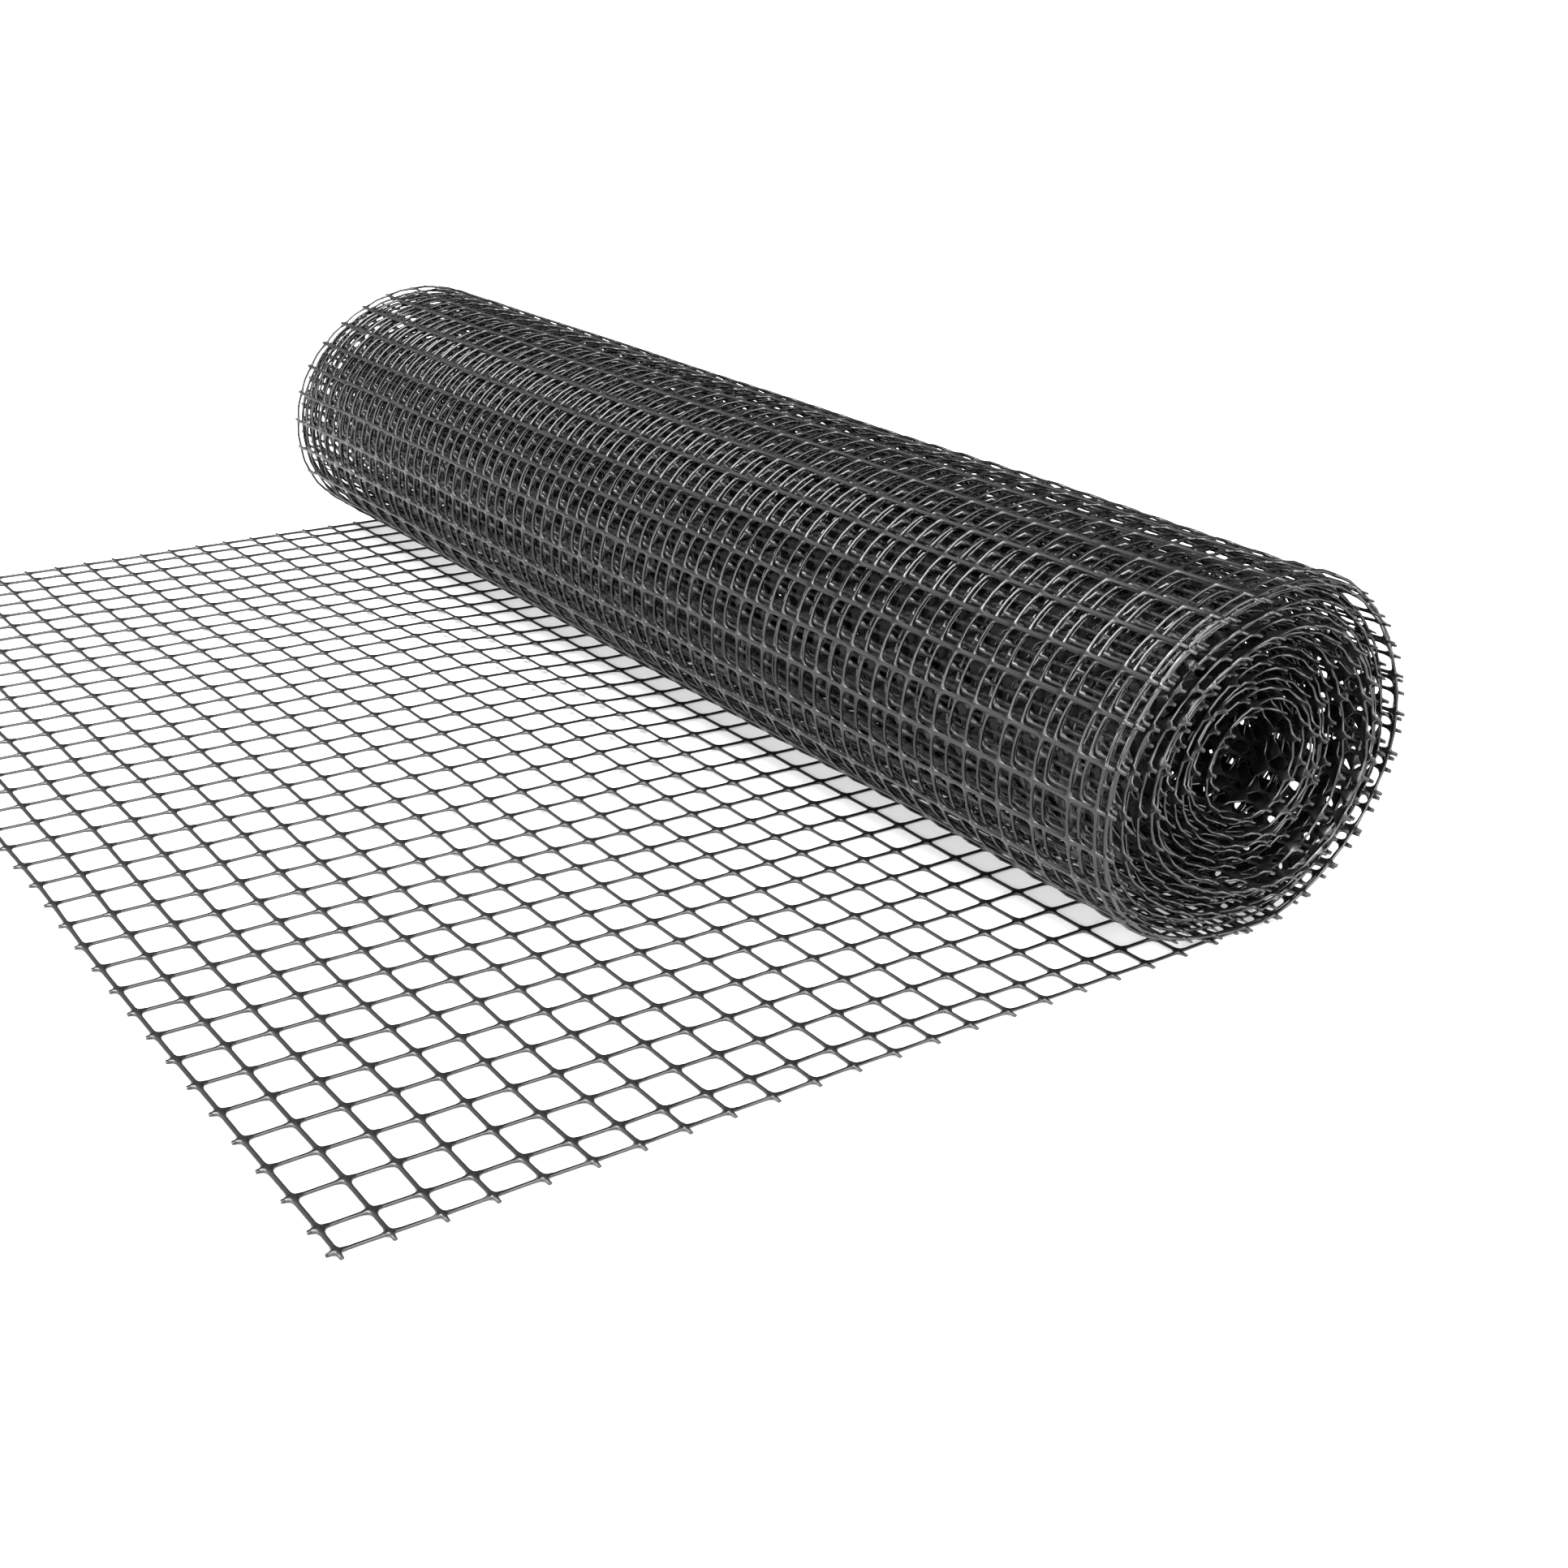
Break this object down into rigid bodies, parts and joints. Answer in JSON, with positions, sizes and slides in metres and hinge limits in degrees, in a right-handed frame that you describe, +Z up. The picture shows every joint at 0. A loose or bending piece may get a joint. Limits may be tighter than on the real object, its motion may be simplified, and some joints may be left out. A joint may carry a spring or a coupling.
{
  "type": "bird netting roll",
  "caption": "Roll of black plastic mesh net lying on its side, open through its middle, with its loose end run out flat along the floor.",
  "frame": {"origin": "on the floor, below the middle of the whole object's bounding box", "axes": "+X along the roll's axis and the net's width, -Y the way the loose end runs out from under the roll, +Z up"},
  "size_m": [0.998, 0.6404, 0.2027],
  "materials": {
    "wound_net": "black moulded plastic, slightly glossy along the strands",
    "laid_net": "black moulded plastic, slightly glossy along the strands"
  },
  "bodies": {
    "root": {"roll_body": "wound_net", "loose_end": "laid_net"}
  },
  "joints": []
}
